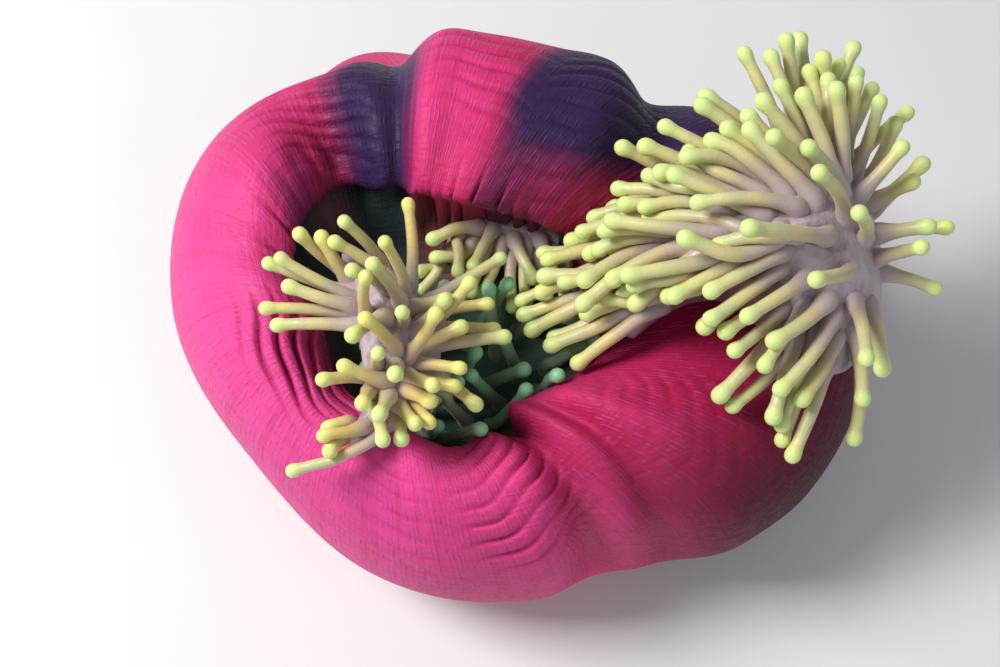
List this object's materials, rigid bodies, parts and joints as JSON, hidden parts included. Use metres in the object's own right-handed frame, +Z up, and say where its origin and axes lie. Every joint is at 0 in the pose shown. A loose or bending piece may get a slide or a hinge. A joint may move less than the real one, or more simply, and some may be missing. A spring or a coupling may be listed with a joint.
{
  "type": "sea anemone",
  "caption": "Half-closed sea anemone: a barrel-shaped column on a flat foot, its rim drawn in round a hole, with folds of the oral disc spilling finger tentacles over it.",
  "frame": {"origin": "centre of the pedal disc's underside, on the floor", "axes": "+Z up, +X towards the wide fold of tentacles, which is the animal's longest way across, +Y to the back"},
  "size_m": [0.3036, 0.2584, 0.1943],
  "materials": {
    "column_skin": "satin, wet",
    "disc_skin": "satin, wet",
    "tentacle_skin": "satin, wet"
  },
  "bodies": {
    "root": {"pedal_disc": "column_skin", "column_right": "column_skin", "column_back": "column_skin", "column_left": "column_skin", "column_front": "column_skin", "rim_right": "column_skin", "rim_back": "column_skin", "rim_left": "column_skin", "rim_front": "column_skin", "oral_disc": "disc_skin", "fold_right": "tentacle_skin", "fold_left": "tentacle_skin", "fold_back": "tentacle_skin"}
  },
  "joints": []
}
